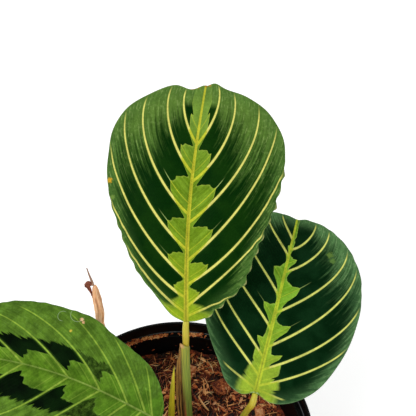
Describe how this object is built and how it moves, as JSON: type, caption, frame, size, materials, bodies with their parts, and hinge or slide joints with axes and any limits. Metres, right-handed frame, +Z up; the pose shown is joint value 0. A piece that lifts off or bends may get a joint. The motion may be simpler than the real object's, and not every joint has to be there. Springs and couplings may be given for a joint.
{
  "type": "potted prayer plant",
  "caption": "Prayer plant (Maranta) with patterned oval leaves on bent stalks, a rolled new leaf and a dry stalk, in a round tapered black nursery pot of coir and bark mix.",
  "frame": {"origin": "centre of the pot's flat underside, on the surface that it stands on", "axes": "+Z up; the tallest leaf leans back towards +Y, one leaf reaches towards -X and one towards +X and +Y, and -Y is the front"},
  "size_m": [0.1793, 0.158, 0.2094],
  "materials": {
    "pot_plastic": "moulded black polypropylene, satin",
    "growing_mix": "coarse coir and bark fibre, matt",
    "leaf_green": "satin leaf with lime midrib zone and pale yellow veins",
    "shaded_leaf_green": "satin dark blue-green leaf with lime midrib zone and pale veins",
    "young_leaf_green": "satin light green leaf with dark blotches",
    "stalk_green": "smooth yellow-green stalk",
    "new_leaf_green": "smooth rolled leaf",
    "dry_tan": "dry papery stalk",
    "dry_brown": "withered brown edge",
    "bark": "split bark, matt",
    "coir_straw": "dry fibre"
  },
  "bodies": {
    "root": {"nursery_pot": "pot_plastic", "growing_mix": "growing_mix", "main_leaf_blade": "leaf_green", "main_petiole": "stalk_green", "main_sheath": "stalk_green", "right_leaf_blade": "shaded_leaf_green", "right_petiole": "stalk_green", "right_sheath": "stalk_green", "left_leaf_blade": "young_leaf_green", "left_petiole": "stalk_green", "left_sheath": "stalk_green", "dry_sheath": "dry_brown", "rolled_new_leaf": "new_leaf_green", "dead_stalk": "dry_tan", "dead_stalk_curl": "dry_brown", "dead_stalk_whisker": "dry_brown", "bark_chip_1": "bark", "bark_chip_2": "bark", "bark_chip_3": "bark", "bark_chip_4": "bark", "bark_chip_5": "bark", "bark_chip_6": "bark", "bark_chip_7": "bark", "bark_chip_8": "bark", "bark_chip_9": "bark", "coir_fibre_1": "coir_straw", "coir_fibre_2": "coir_straw", "coir_fibre_3": "coir_straw", "coir_fibre_4": "coir_straw", "coir_fibre_5": "coir_straw", "coir_fibre_6": "coir_straw", "ledge_crumb_1": "bark", "ledge_crumb_2": "bark"}
  },
  "joints": []
}
